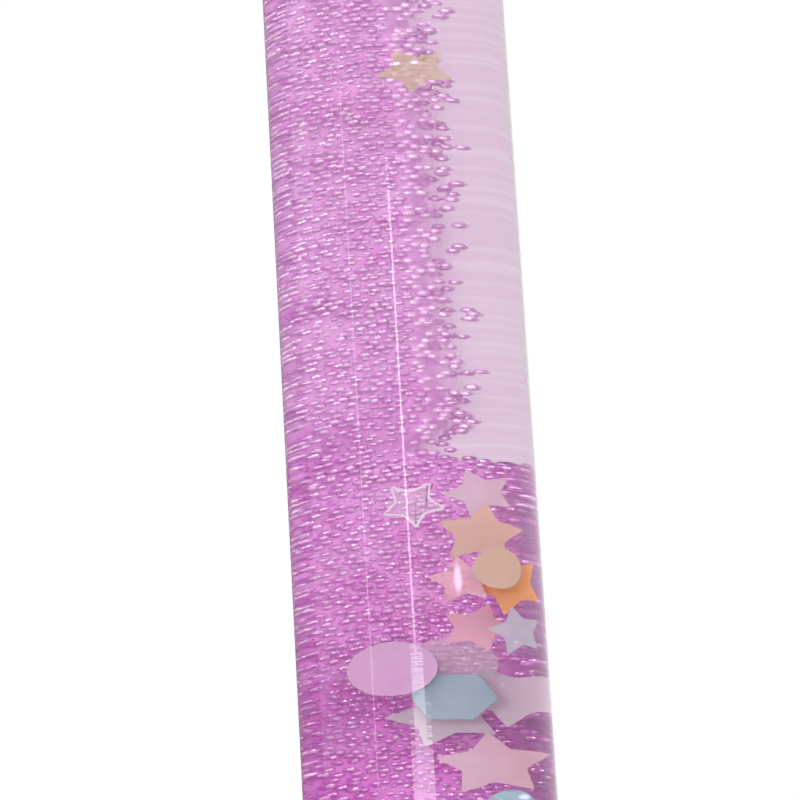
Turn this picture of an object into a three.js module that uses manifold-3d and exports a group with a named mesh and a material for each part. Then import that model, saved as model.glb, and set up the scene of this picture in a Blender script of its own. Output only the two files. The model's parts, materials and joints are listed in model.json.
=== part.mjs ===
// Glitter sensory wand: a clear tube, plugged and capped at both ends, filled with tinted
// liquid, a settled bed of tiny beads and loose film confetti that drifts as it is tipped.
// Millimetres, +Z up. The wand stands on its lower cap, with the origin in the middle of
// that cap's flat end. The beads lie on the +Y side of the bore.

import * as THREE from "three";
import { mergeVertices } from "three/addons/utils/BufferGeometryUtils.js";
import Module from "manifold-3d";

const wasm = await Module();
wasm.setup();

// Tube
const TUBE_OUTER_DIAMETER = 25.4;
const TUBE_WALL = 2;
const TUBE_LENGTH = 290;
const TUBE_EDGE_BREAK = 0.4;

// Moulded end caps
const CAP_WALL = 1.7;
const CAP_END = 3;
const CAP_OVERLAP = 15;
const CAP_EDGE_ROUND = 2.5;
const CAP_FIT = 0.2;
const CAP_MOUTH_ROUND = 0.5;
const GRIP_BAND_WIDTH = 4;
const GRIP_BAND_RISE = 0.5;
const GRIP_BAND_FROM_MOUTH = 1.5;

// Plugs that seal the bore, each with an O-ring in a groove
const PLUG_FLANGE = 2;
const PLUG_SKIRT = 11;
const PLUG_FIT = 0.2;
const PLUG_DISC = 2;
const PLUG_CORE_WALL = 2;
const PLUG_LEAD_IN = 0.8;
const SEAL_SECTION = 1.8;
const SEAL_FIT = 0.2;
const SEAL_FROM_FLANGE = 4.5;

// Stopper in the filling hole of the upper plug
const FILL_HOLE_DIAMETER = 4;
const STOPPER_FIT = 0.2;
const STOPPER_HEAD_DIAMETER = 8;
const STOPPER_HEAD = 2.5;
const STOPPER_TIP_TAPER = 0.4;

// Liquid column and the air left above it
const AIR_SPACE = 8;
const CONTENT_FIT = 0.3;

// Bead beds: each fills the bore behind a flat top at this distance from the tube's axis.
// The upper bed leans to the -X side, so the bore is clear on the +X side there.
const LOWER_BED_DISTANCE = 7.4;
const LOWER_BED_LEAN = 0;
const UPPER_BED_DISTANCE = 8;
const UPPER_BED_LEAN = 20;
const LOWER_BED_HEIGHT = 128;

// Film confetti, one thickness, five punches
const FLAKE_THICKNESS = 0.15;
const FLAKE_FIT = 0.2;
const STAR_TIP_DIAMETER = 6.6;
const STAR_NOTCH_DIAMETER = 3.6;
const SMALL_STAR_TIP_DIAMETER = 5.2;
const SMALL_STAR_NOTCH_DIAMETER = 2.8;
const DOT_DIAMETER = 5.5;
const SMALL_DOT_DIAMETER = 4.2;
const HEXAGON_CORNER_DIAMETER = 5.2;

// Drift lanes, as shares of the bore's radius. Rows face -Y and run from back to front,
// side lanes face -X and lie outside the rows' reach on that side.
const ROW_BACK = 0.59;
const ROW_PITCH = 0.06;
const ROW_REACH = 0.7;
const SIDE_LANE_FIRST = 0.75;
const SIDE_LANE_PITCH = 0.09;

const ROUND_SEGMENTS = 48;
const SEAL_SIDES = 8;
const CORNER_STEPS = 4;

// Sizes that follow from those above
const tubeRadius = TUBE_OUTER_DIAMETER / 2;
const boreRadius = tubeRadius - TUBE_WALL;
const capInnerRadius = tubeRadius + CAP_FIT;
const capRadius = capInnerRadius + CAP_WALL;
const tubeBottom = CAP_END + PLUG_FLANGE;
const tubeTop = tubeBottom + TUBE_LENGTH;
const overallHeight = tubeTop + PLUG_FLANGE + CAP_END;
const capLength = tubeBottom + CAP_OVERLAP;
const plugLength = PLUG_FLANGE + PLUG_SKIRT;
const skirtRadius = boreRadius - PLUG_FIT;
const grooveWidth = SEAL_SECTION + 2 * SEAL_FIT;
const grooveRadius = boreRadius - SEAL_SECTION - 2 * SEAL_FIT;
const coreRadius = grooveRadius - PLUG_CORE_WALL;
const contentRadius = boreRadius - CONTENT_FIT;
const contentBottom = CAP_END + plugLength + CONTENT_FIT;
const contentTop = overallHeight - CAP_END - plugLength - AIR_SPACE;
const contentHeight = contentTop - contentBottom;
const bedBreak = contentBottom + LOWER_BED_HEIGHT;

const degrees = (angle) => THREE.MathUtils.degToRad(angle);

// Punches: outline and the radius of the circle round it
const punches = {
  star: {
    outline: () => starOutline(STAR_TIP_DIAMETER, STAR_NOTCH_DIAMETER),
    radius: STAR_TIP_DIAMETER / 2,
  },
  smallStar: {
    outline: () => starOutline(SMALL_STAR_TIP_DIAMETER, SMALL_STAR_NOTCH_DIAMETER),
    radius: SMALL_STAR_TIP_DIAMETER / 2,
  },
  dot: { outline: () => dotOutline(DOT_DIAMETER), radius: DOT_DIAMETER / 2 },
  smallDot: { outline: () => dotOutline(SMALL_DOT_DIAMETER), radius: SMALL_DOT_DIAMETER / 2 },
  hexagon: { outline: hexagonOutline, radius: HEXAGON_CORNER_DIAMETER / 2 },
};

// Confetti in the rows, which count from the back of the bore. "side" is the place across
// the row's free play, from -1 at -X to 1 at +X, "up" the height as a share of the liquid
// column, and "turn" the spin of the flake in its own plane in degrees.
const rowFlakes = [
  { name: "mint_star", punch: "star", color: "#cbbbb0", row: 0, side: 0.26, up: 0.388, turn: 15 },
  { name: "rose_star", punch: "star", color: "#d6b0c0", row: 1, side: 1, up: 0.395, turn: 30 },
  { name: "candy_star", punch: "star", color: "#dcaec0", row: 2, side: 0.7, up: 0.368, turn: 3 },
  { name: "cream_dot", punch: "dot", color: "#d2b8b0", row: 3, side: 0.26, up: 0.407, turn: 0 },
  { name: "sky_hexagon", punch: "hexagon", color: "#93a9bd", row: 4, side: 0.27, up: 0.394, turn: -6 },
  { name: "lavender_dot", punch: "dot", color: "#dba9d4", row: 5, side: -0.4, up: 0.406, turn: 0 },
  { name: "gold_star", punch: "smallStar", color: "#d8c394", row: 6, side: 0.25, up: 0.649, turn: 30 },
  { name: "pink_star", punch: "smallStar", color: "#e0a0c2", row: 7, side: 0.51, up: 0.42, turn: -20 },
  { name: "blush_star", punch: "smallStar", color: "#deb2c6", row: 8, side: 0.62, up: 0.473, turn: 20 },
  { name: "peach_star", punch: "star", color: "#dcaa9c", row: 9, side: 0.69, up: 0.456, turn: -8 },
  { name: "orange_star", punch: "star", color: "#e08c3c", row: 10, side: 1, up: 0.436, turn: 25 },
  { name: "sky_star", punch: "smallStar", color: "#a9c0cc", row: 11, side: 1, up: 0.417, turn: 12 },
  { name: "salmon_star", punch: "smallStar", color: "#dc9fa4", row: 12, side: 0.45, up: 0.437, turn: 8 },
  { name: "beige_dot", punch: "smallDot", color: "#d3b093", row: 13, side: 0.83, up: 0.441, turn: 0 },
  { name: "pearl_star", punch: "smallStar", color: "#d9c5d0", row: 14, side: 0, up: 0.467, turn: 40 },
  { name: "teal_dot", punch: "dot", color: "#8fc6cf", row: 15, side: 1, up: 0.344, turn: 0 },
  { name: "lemon_star", punch: "smallStar", color: "#dccf8e", row: 7, side: -0.75, up: 0.11, turn: 15 },
  { name: "violet_hexagon", punch: "hexagon", color: "#b79ad8", row: 8, side: -0.8, up: 0.87, turn: 12 },
  { name: "coral_star", punch: "smallStar", color: "#e3947f", row: 9, side: -0.75, up: 0.28, turn: -18 },
  { name: "silver_dot", punch: "smallDot", color: "#c9cdd6", row: 10, side: -0.5, up: 0.76, turn: 0 },
  { name: "aqua_star", punch: "smallStar", color: "#8ec9c4", row: 11, side: -0.6, up: 0.19, turn: 28 },
];

// Confetti in the side lanes, from the inside out
const sideFlakes = [
  { name: "lilac_star", punch: "star", color: "#c7a3d9", lane: 0, up: 0.24, turn: 22 },
  { name: "rosy_hexagon", punch: "hexagon", color: "#d99ab4", lane: 1, up: 0.81, turn: 8 },
];

// Outlines of the punches

function starOutline(tipDiameter, notchDiameter) {
  const star = new THREE.Shape();
  const points = 5;
  for (let corner = 0; corner < 2 * points; corner += 1) {
    const radius = (corner % 2 === 0 ? tipDiameter : notchDiameter) / 2;
    const angle = Math.PI / 2 + (corner * Math.PI) / points;
    const x = radius * Math.cos(angle);
    const y = radius * Math.sin(angle);
    if (corner === 0) star.moveTo(x, y);
    else star.lineTo(x, y);
  }
  star.closePath();
  return star;
}

function dotOutline(diameter) {
  return new THREE.Shape().absarc(0, 0, diameter / 2, 0, 2 * Math.PI);
}

function hexagonOutline() {
  const corners = 6;
  const hexagon = new THREE.Shape();
  for (let corner = 0; corner < corners; corner += 1) {
    const angle = (corner * 2 * Math.PI) / corners;
    const x = (HEXAGON_CORNER_DIAMETER / 2) * Math.cos(angle);
    const y = (HEXAGON_CORNER_DIAMETER / 2) * Math.sin(angle);
    if (corner === 0) hexagon.moveTo(x, y);
    else hexagon.lineTo(x, y);
  }
  hexagon.closePath();
  return hexagon;
}

// Shared shape helpers

// Turns a profile of [radius, height] points about the Z axis.
function revolve(profile) {
  const points = profile.map(([radius, height]) => new THREE.Vector2(radius, height));
  return new THREE.LatheGeometry(points, ROUND_SEGMENTS).rotateX(Math.PI / 2);
}

// Points of a round corner in a profile, between two angles in degrees.
function roundCorner(centreRadius, centreHeight, radius, from, to) {
  const points = [];
  for (let step = 0; step <= CORNER_STEPS; step += 1) {
    const angle = degrees(from + ((to - from) * step) / CORNER_STEPS);
    points.push([centreRadius + radius * Math.cos(angle), centreHeight + radius * Math.sin(angle)]);
  }
  return points;
}

function toSolid(geometry) {
  const bare = geometry.clone();
  bare.deleteAttribute("normal");
  bare.deleteAttribute("uv");
  const merged = mergeVertices(bare, 1e-5);
  return new wasm.Manifold(
    new wasm.Mesh({
      numProp: 3,
      vertProperties: new Float32Array(merged.attributes.position.array),
      triVerts: new Uint32Array(merged.index.array),
    }),
  );
}

function toGeometry(solid) {
  const mesh = solid.getMesh();
  const geometry = new THREE.BufferGeometry();
  geometry.setAttribute("position", new THREE.BufferAttribute(mesh.vertProperties, 3));
  geometry.setIndex(new THREE.BufferAttribute(mesh.triVerts, 1));
  geometry.computeVertexNormals();
  return geometry;
}

// Tube: plain pipe with its end edges broken
function tubeGeometry() {
  const edge = TUBE_EDGE_BREAK;
  return revolve([
    [boreRadius + edge, 0],
    [tubeRadius - edge, 0],
    [tubeRadius, edge],
    [tubeRadius, TUBE_LENGTH - edge],
    [tubeRadius - edge, TUBE_LENGTH],
    [boreRadius + edge, TUBE_LENGTH],
    [boreRadius, TUBE_LENGTH - edge],
    [boreRadius, edge],
    [boreRadius + edge, 0],
  ]);
}

// End cap: a cup with a flat end, a rounded edge, and a raised grip band below its mouth
function capGeometry() {
  const bandTop = capLength - GRIP_BAND_FROM_MOUTH;
  const bandBottom = bandTop - GRIP_BAND_WIDTH;
  const bandRadius = capRadius + GRIP_BAND_RISE;
  const mouth = capLength - CAP_MOUTH_ROUND;
  return revolve([
    [0, 0],
    ...roundCorner(capRadius - CAP_EDGE_ROUND, CAP_EDGE_ROUND, CAP_EDGE_ROUND, -90, 0),
    [capRadius, bandBottom],
    [bandRadius, bandBottom + GRIP_BAND_RISE],
    [bandRadius, bandTop - GRIP_BAND_RISE],
    [capRadius, bandTop],
    ...roundCorner(capRadius - CAP_MOUTH_ROUND, mouth, CAP_MOUTH_ROUND, 0, 90),
    [capInnerRadius, capLength],
    [capInnerRadius, CAP_END],
    [0, CAP_END],
  ]);
}

// Plug: flange on the tube's end, grooved skirt in the bore, cored out from its outer face
function plugGeometry(holeRadius) {
  const discBottom = plugLength - PLUG_DISC;
  const grooveBottom = PLUG_FLANGE + SEAL_FROM_FLANGE;
  const grooveTop = grooveBottom + grooveWidth;
  const profile = [
    [holeRadius, discBottom],
    [coreRadius, discBottom],
    [coreRadius, 0],
    [tubeRadius, 0],
    [tubeRadius, PLUG_FLANGE],
    [skirtRadius, PLUG_FLANGE],
    [skirtRadius, grooveBottom],
    [grooveRadius, grooveBottom],
    [grooveRadius, grooveTop],
    [skirtRadius, grooveTop],
    [skirtRadius, plugLength - PLUG_LEAD_IN],
    [skirtRadius - PLUG_LEAD_IN, plugLength],
    [holeRadius, plugLength],
  ];
  if (holeRadius > 0) profile.push([holeRadius, discBottom]);
  return revolve(profile);
}

// O-ring, at its height in the plug
function sealGeometry() {
  const centreRadius = grooveRadius + SEAL_FIT + SEAL_SECTION / 2;
  const centreHeight = PLUG_FLANGE + SEAL_FROM_FLANGE + grooveWidth / 2;
  const profile = [];
  for (let side = 0; side <= SEAL_SIDES; side += 1) {
    const angle = ((side % SEAL_SIDES) * 2 * Math.PI) / SEAL_SIDES;
    const radius = centreRadius + (SEAL_SECTION / 2) * Math.cos(angle);
    profile.push([radius, centreHeight + (SEAL_SECTION / 2) * Math.sin(angle)]);
  }
  return revolve(profile);
}

// Stopper: head on the outer face of the plug's disc, stem through the filling hole
function stopperGeometry() {
  const stemRadius = FILL_HOLE_DIAMETER / 2 - STOPPER_FIT;
  const seat = plugLength - PLUG_DISC;
  return revolve([
    [0, seat - STOPPER_HEAD],
    [STOPPER_HEAD_DIAMETER / 2, seat - STOPPER_HEAD],
    [STOPPER_HEAD_DIAMETER / 2, seat],
    [stemRadius, seat],
    [stemRadius, plugLength - STOPPER_TIP_TAPER],
    [stemRadius - STOPPER_TIP_TAPER, plugLength],
    [0, plugLength],
  ]);
}

// The part of the bore behind a flat top, "grow" larger all round
function bedGeometry(distance, lean, bottom, top, grow) {
  const radius = contentRadius + grow;
  const halfAngle = Math.acos((distance - grow) / radius);
  const middle = Math.PI / 2 + degrees(lean);
  const section = new THREE.Shape().absarc(0, 0, radius, middle - halfAngle, middle + halfAngle);
  section.closePath();
  const depth = top - bottom + 2 * grow;
  const options = { depth, bevelEnabled: false, curveSegments: ROUND_SEGMENTS / 4 };
  return new THREE.ExtrudeGeometry(section, options).translate(0, 0, bottom - grow);
}

function lowerBed(grow) {
  return bedGeometry(LOWER_BED_DISTANCE, LOWER_BED_LEAN, contentBottom, bedBreak, grow);
}

function upperBed(grow) {
  const bottom = bedBreak + CONTENT_FIT;
  return bedGeometry(UPPER_BED_DISTANCE, UPPER_BED_LEAN, bottom, contentTop, grow);
}

// Where a flake rests: its centre, the heading of its plane, and its radius
function rowPlace(flake) {
  const radius = punches[flake.punch].radius;
  const y = (ROW_BACK - flake.row * ROW_PITCH) * boreRadius;
  const halfSlot = radius + FLAKE_FIT;
  const slotFace = Math.abs(y) + FLAKE_THICKNESS / 2 + FLAKE_FIT;
  const chord = Math.sqrt((contentRadius - CONTENT_FIT) ** 2 - slotFace ** 2);
  const reach = flake.side < 0 ? Math.min(chord, ROW_REACH * boreRadius) : chord;
  return { x: flake.side * (reach - halfSlot), y, heading: 0, radius };
}

function sidePlace(flake) {
  const radius = punches[flake.punch].radius;
  const share = SIDE_LANE_FIRST + flake.lane * SIDE_LANE_PITCH;
  return { x: -share * boreRadius, y: 0, heading: Math.PI / 2, radius };
}

const flakes = [
  ...rowFlakes.map((flake) => ({ ...flake, ...rowPlace(flake) })),
  ...sideFlakes.map((flake) => ({ ...flake, ...sidePlace(flake) })),
];

// Lane that a flake drifts along, cut through the liquid from end to end
function laneGeometry({ x, y, heading, radius }) {
  const width = 2 * (radius + FLAKE_FIT);
  const gap = FLAKE_THICKNESS + 2 * FLAKE_FIT;
  const height = contentHeight + 2 * CONTENT_FIT;
  return new THREE.BoxGeometry(width, gap, height)
    .rotateZ(heading)
    .translate(x, y, (contentBottom + contentTop) / 2);
}

// Liquid: the column, less the bead beds and the lanes of the confetti
function liquidGeometry() {
  const column = revolve([
    [0, contentBottom],
    [contentRadius, contentBottom],
    [contentRadius, contentTop],
    [0, contentTop],
  ]);
  let liquid = toSolid(column);
  liquid = liquid.subtract(toSolid(lowerBed(CONTENT_FIT)));
  liquid = liquid.subtract(toSolid(upperBed(CONTENT_FIT)));
  for (const flake of flakes) liquid = liquid.subtract(toSolid(laneGeometry(flake)));
  return toGeometry(liquid);
}

function flakeGeometry({ punch, turn, heading }) {
  const options = { depth: FLAKE_THICKNESS, bevelEnabled: false };
  return new THREE.ExtrudeGeometry(punches[punch].outline(), options)
    .translate(0, 0, -FLAKE_THICKNESS / 2)
    .rotateZ(degrees(turn))
    .rotateX(Math.PI / 2)
    .rotateZ(heading);
}

// Assembly

const wand = new THREE.Group();

function add(parent, name, geometry, look) {
  const mesh = new THREE.Mesh(geometry, new THREE.MeshStandardMaterial(look));
  mesh.name = name;
  parent.add(mesh);
  return mesh;
}

const clearPlastic = { color: "#f4eef4", roughness: 0.05, transparent: true, opacity: 0.3 };
const capPlastic = { color: "#b98fd0", roughness: 0.3 };
const plugPlastic = { color: "#efe9ee", roughness: 0.5 };
const sealRubber = { color: "#2b2b2e", roughness: 0.7 };
const stopperRubber = { color: "#d8d4d6", roughness: 0.6 };
const tintedLiquid = { color: "#e6c4e2", roughness: 0.02, transparent: true, opacity: 0.35 };
const beadPlastic = { color: "#c96cc0", roughness: 0.25 };

add(wand, "tube", tubeGeometry(), clearPlastic).position.z = tubeBottom;

// Both ends are alike: the upper one is the lower one turned over.
const lowerEnd = new THREE.Group();
const upperEnd = new THREE.Group();
upperEnd.rotation.x = Math.PI;
upperEnd.position.z = overallHeight;
wand.add(lowerEnd, upperEnd);

for (const [end, side, holeRadius] of [
  [lowerEnd, "lower", 0],
  [upperEnd, "upper", FILL_HOLE_DIAMETER / 2],
]) {
  add(end, `${side}_cap`, capGeometry(), capPlastic);
  add(end, `${side}_plug`, plugGeometry(holeRadius), plugPlastic).position.z = CAP_END;
  add(end, `${side}_seal`, sealGeometry(), sealRubber).position.z = CAP_END;
}
add(upperEnd, "fill_stopper", stopperGeometry(), stopperRubber).position.z = CAP_END;

add(wand, "liquid", liquidGeometry(), tintedLiquid);
add(wand, "lower_bead_bed", lowerBed(0), beadPlastic);
add(wand, "upper_bead_bed", upperBed(0), beadPlastic);

for (const flake of flakes) {
  const mesh = add(wand, flake.name, flakeGeometry(flake), {
    color: flake.color,
    roughness: 0.2,
    metalness: 0.3,
  });
  mesh.position.set(flake.x, flake.y, contentBottom + flake.up * contentHeight);
}

export default wand;
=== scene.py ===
"""Looks of the glitter sensory wand: clear tube, tinted liquid, beads, confetti film and caps."""

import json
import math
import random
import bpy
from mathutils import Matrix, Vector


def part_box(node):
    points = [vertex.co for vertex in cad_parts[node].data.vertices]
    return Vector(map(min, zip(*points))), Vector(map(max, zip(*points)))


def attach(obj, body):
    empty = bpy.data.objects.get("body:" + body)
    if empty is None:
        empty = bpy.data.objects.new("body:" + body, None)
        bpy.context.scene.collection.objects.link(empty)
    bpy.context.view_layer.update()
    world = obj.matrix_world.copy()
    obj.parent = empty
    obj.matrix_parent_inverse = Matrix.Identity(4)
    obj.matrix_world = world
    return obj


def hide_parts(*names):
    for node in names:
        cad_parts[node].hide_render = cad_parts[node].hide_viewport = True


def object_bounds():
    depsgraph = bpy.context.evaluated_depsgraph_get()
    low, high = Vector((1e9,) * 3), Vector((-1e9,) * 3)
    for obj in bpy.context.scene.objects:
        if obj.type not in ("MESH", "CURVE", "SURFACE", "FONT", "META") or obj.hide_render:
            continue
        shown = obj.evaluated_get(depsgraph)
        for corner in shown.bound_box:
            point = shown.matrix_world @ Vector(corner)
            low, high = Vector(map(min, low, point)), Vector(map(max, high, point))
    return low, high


bl_info = {
    "name": "Glitter Sensory Wand",
    "version": (1, 0, 0),
    "blender": (4, 5, 0),
    "location": "View3D > Sidebar > Wand",
    "description": "Dresses the wand: tube, liquid, beads, confetti, caps and stage",
    "category": "Object",
}

import bmesh
import bpy
from bpy.props import FloatProperty, FloatVectorProperty, IntProperty, PointerProperty
from mathutils import Matrix, Vector, noise

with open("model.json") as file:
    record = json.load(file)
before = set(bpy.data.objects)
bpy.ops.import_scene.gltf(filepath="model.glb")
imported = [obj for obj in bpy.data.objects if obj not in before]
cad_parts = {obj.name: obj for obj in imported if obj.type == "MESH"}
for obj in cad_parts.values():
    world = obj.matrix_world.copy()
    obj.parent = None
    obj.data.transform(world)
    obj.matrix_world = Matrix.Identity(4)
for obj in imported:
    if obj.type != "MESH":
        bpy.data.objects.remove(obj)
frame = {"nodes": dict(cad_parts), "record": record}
cad_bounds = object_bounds()

MM = 0.001
WAND_BODY = "wand"
TUBE_LOW, TUBE_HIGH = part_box("tube")
LIQUID_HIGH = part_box("liquid")[1]
LOWER_BED_LOW, LOWER_BED_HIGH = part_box("lower_bead_bed")
UPPER_BED_LOW, UPPER_BED_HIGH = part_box("upper_bead_bed")
PLUG_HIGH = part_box("lower_plug")[1]
TUBE_RADIUS = TUBE_HIGH.x
CONTENT_RADIUS = LIQUID_HIGH.x
WAND_HEIGHT = cad_bounds[1].z
BREAK = (LOWER_BED_HIGH.z + UPPER_BED_LOW.z) / 2

# Edges of the beds on the bore: millimetres above the break, degrees from the back of the bore
LEFT_EDGE = ((-1, 39), (6, 46), (18, 51))
RIGHT_EDGE = ((-1, 39), (0, 14), (1.5, 14), (3, 21), (6, 21.5), (11, 19), (38, 18), (50, 15))

# Flakes of a film so thin that the beads show through: share of milky white, share hidden
SHEER_FLAKES = {
    "mint_star": (0.8, 0.55),
    "cream_dot": (0.7, 0.25),
    "gold_star": (0.05, 0.47),
    "blush_star": (0.4, 0.6),
    "rose_star": (0.8, 0.5),
    "pearl_star": (0.8, 0.15),
    "sky_star": (0.45, 0.55),
}
# Flakes that are crinkled and glossy
GLOSSY_FLAKES = ("gold_star", "salmon_star", "teal_dot")
# Glints on them: millimetres right of and above the flake's middle, half width and half height
GLINTS = {
    "gold_star": (((-1.1, 0.9), (0.4, 0.25)), ((0.1, 1.0), (0.35, 0.22))),
    "salmon_star": (((-0.2, 0), (0.4, 2.0)),),
    "teal_dot": (((1.1, 2.0), (0.8, 0.35)),),
}
# Flakes whose cut edge catches the light, painted as a highlight of paler film: width of that
# edge in millimetres
BRIGHT_EDGES = {"pearl_star": 0.22}

# Refractive indices that give the beads their hard shine and the core behind them a soft one
BEAD_SHINE = 3.4
CORE_SHINE = 2.0
# Smallest and largest bead, as shares of the set size
BEAD_SIZES = (0.86, 1.06)
# Pieces that each layer of beads is cut into along the tube
BEAD_SLICES = 4
# Rows of points that the core's edge fades over
FADE_ROWS = 4
# Strips that a flake is cut into so that it can curl
CURL_STRIPS = 8
# A dot's shape has more corners than this, a star's or hexagon's fewer
ROUND_CORNERS = 30

# Moulded ends
CAP_FIT = 0.2 * MM
CAP_END = 3 * MM
CAP_EDGE_ROUND = 2.5 * MM
CAP_MOUTH_ROUND = 0.5 * MM
GRIP_BAND_WIDTH = 4 * MM
GRIP_BAND_RISE = 0.5 * MM
GRIP_BAND_FROM_MOUTH = 1.5 * MM

# Stage: roughness of matt card, size of the floor, place and size of the grey card
MATT = 0.8
FLOOR_SIZE = 6
FLAG_PLACE = (-0.28, 0.33, 0.25)
FLAG_SIZE = 0.55
WAND_MIDDLE = (0, 0, WAND_HEIGHT / 2)
# Lamps: place, point that the lamp faces, width and height, watts
LAMPS = {
    "key": ((-0.59, -0.70, 1.07), WAND_MIDDLE, (0.9, 0.9), 8.5),
    "fill": ((0.59, -0.70, 1.07), WAND_MIDDLE, (0.9, 0.9), 7.5),
    "back": ((0.3, 1.0, 1.1), WAND_MIDDLE, (0.9, 0.9), 6),
    "strip_middle": ((-0.076, -0.79, 0.353), (-0.076, 0, 0.353), (0.026, 0.155), 0.12),
    "strip_left": ((-0.577, -0.555, 0.354), (0, 0, 0.354), (0.016, 0.25), 0.05),
    "window_low": ((-0.063, -0.79, 0.174), (-0.063, 0, 0.174), (0.27, 0.148), 0.75),
    "window_top": ((-0.065, -0.79, 0.26), (-0.065, 0, 0.26), (0.152, 0.024), 0.07),
}


# Settings that a user would change


def length(name, description, default):
    """A size in metres."""
    return FloatProperty(
        name=name, description=description, default=default, unit="LENGTH", precision=5
    )


def angle(name, description, degrees):
    """An angle, given in degrees."""
    return FloatProperty(
        name=name, description=description, default=math.radians(degrees), subtype="ANGLE"
    )


def share(name, description, default):
    """A plain number."""
    return FloatProperty(name=name, description=description, default=default)


def colour(name, description, default):
    """A linear colour."""
    return FloatVectorProperty(
        name=name, description=description, default=default, subtype="COLOR", min=0, max=1
    )


class WandTubeSettings(bpy.types.PropertyGroup):
    """Clear tube."""

    wall: length("Wall", "Thickness of the tube's wall", 2 * MM)
    refraction: share("Refraction", "Refractive index of tube and liquid together", 1.48)
    ridge: share("Ridge", "Strength of the drawn ridges on the outside", 0.07)
    steps: IntProperty(name="Steps", description="Facets round the tube", default=192)


class WandLiquidSettings(bpy.types.PropertyGroup):
    """Liquid column."""

    film: length("Film", "Gap between the liquid and the wall", 0.04 * MM)
    meniscus: length("Meniscus", "Height that the surface climbs at the wall", 0.9 * MM)
    front_tint: colour("Front tint", "What the clear front lets through", (0.95, 0.90, 0.94))
    # Painted light: the back's tint stands in for light scattered from the beads, its pale
    # streaks for refracted light
    back_tint: colour("Back tint", "What the dyed back lets through", (0.78, 0.60, 0.75))
    streak_tint: colour("Streak tint", "What its pale streaks let through", (0.84, 0.69, 0.82))


class WandBeadSettings(bpy.types.PropertyGroup):
    """Settled beads."""

    diameter: length("Diameter", "Size of one bead", 0.7 * MM)
    pitch: length("Pitch", "Distance between beads in a row", 0.66 * MM)
    scatter: share("Scatter", "How far beads stray, as a share of the pitch", 0.25)
    depth: length("Depth", "How far beads stray in depth", 0.1 * MM)
    swell: length("Swell", "Height of the mounds on top of the beds", 0.15 * MM)
    rise: length("Rise", "How far the core stands in front of the beads' middles", 0.07 * MM)
    fray: length("Fray", "Width over which the right edge thins out", 3 * MM)
    # Painted light: a paler copy of the bead colour for the thin right edge, as if more light
    # reached those beads
    edge: colour("Edge", "Beads of the thin edge", (0.88, 0.54, 0.86))
    upper: colour("Upper", "Beads high up", (0.70, 0.32, 0.68))
    lower: colour("Lower", "Beads low down", (0.58, 0.055, 0.51))
    # Painted shade: colours that darken the upper rim of each bead and of each edge bead
    outline: colour("Outline", "Dark upper rim of a bead", (0.42, 0.09, 0.46))
    edge_outline: colour("Edge outline", "Upper rim of an edge bead", (0.84, 0.49, 0.82))
    glow: share("Glow", "Light that the beads pass on to one another", 0.06)
    fade_low: length("Fade low", "Height where the lower colour ends", 105 * MM)
    fade_high: length("Fade high", "Height where the upper colour begins", 156 * MM)
    seed: IntProperty(name="Seed", description="Seed of the scatter", default=7)


class WandConfettiSettings(bpy.types.PropertyGroup):
    """Punched film."""

    tip_round: length("Tip round", "Rounding of the star's points", 0.22 * MM)
    curl: length("Curl", "Rise of a flake's edge over its middle", 0.15 * MM)
    cover: share("Cover", "How much the pearly film hides", 0.92)
    gloss: share("Gloss", "Gloss and crinkle of the shiniest flakes", 0.8)
    milk: colour("Milk", "Pale tone that sheer film takes on", (0.92, 0.80, 0.86))
    # Painted highlight on a flake's cut edge
    cut_edge: colour("Cut edge", "Bright cut edge of a film", (0.82, 0.66, 0.79))
    glint_power: share("Glint power", "Brightness of the glints", 0.8)
    glint: colour("Glint", "Bright glint on a glossy flake", (0.58, 0.56, 1.0))
    seed: IntProperty(name="Seed", description="Seed of the curls", default=3)
    film_cream: colour("Cream", "Cream film", (0.61, 0.46, 0.40))
    film_sky: colour("Sky", "Light blue film", (0.25, 0.345, 0.40))
    film_blush: colour("Blush", "Pale pink film", (0.67, 0.39, 0.46))
    film_lavender: colour("Lavender", "Lavender film", (0.68, 0.35, 0.60))
    film_gold: colour("Gold", "Gold film", (0.68, 0.53, 0.22))
    film_pink: colour("Pink", "Pink film", (0.79, 0.335, 0.44))
    film_peach: colour("Peach", "Peach film", (0.72, 0.41, 0.29))
    film_pearl: colour("Pearl", "Silvery film", (0.65, 0.52, 0.55))
    film_beige: colour("Beige", "Beige film", (0.64, 0.41, 0.26))
    film_teal: colour("Teal", "Teal film", (0.28, 0.50, 0.54))
    film_orange: colour("Orange", "Orange film", (0.98, 0.36, 0.035))


class WandCapSettings(bpy.types.PropertyGroup):
    """Moulded ends."""

    light: colour("Light", "Cap plastic", (0.50, 0.30, 0.62))
    deep: colour("Deep", "Darker mottle in the cap plastic", (0.42, 0.23, 0.55))
    plug: colour("Plug", "Natural plug plastic", (0.80, 0.77, 0.80))
    rubber: colour("Rubber", "O-ring rubber", (0.02, 0.02, 0.022))
    stopper: colour("Stopper", "Stopper rubber", (0.58, 0.55, 0.57))
    steps: IntProperty(name="Steps", description="Facets round a cap", default=128)


class WandStageSettings(bpy.types.PropertyGroup):
    """Camera, light and floor."""

    distance: length("Distance", "Camera to the tube's axis", 373 * MM)
    pitch: angle("Pitch", "Upward tilt of the camera", 15)
    roll: angle("Roll", "Lean of the tube in the picture", 3.36)
    aside: length("Aside", "Offset of the tube's axis to the right", 0.67 * MM)
    target: length("Target", "Height of the middle of the picture", 150 * MM)
    lens: share("Lens", "Focal length in millimetres", 163.6)
    floor: colour("Floor", "Pale floor", (0.86, 0.86, 0.86))
    floor_solid: length("Solid floor", "Radius within which the floor is solid", 0.2)
    floor_end: length("Floor end", "Radius at which the floor has faded away", 0.9)
    flag: colour("Flag", "Grey card beside the tube", (0.30, 0.27, 0.30))
    ambient: share("Ambient", "Even light from all round", 0.25)


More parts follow.
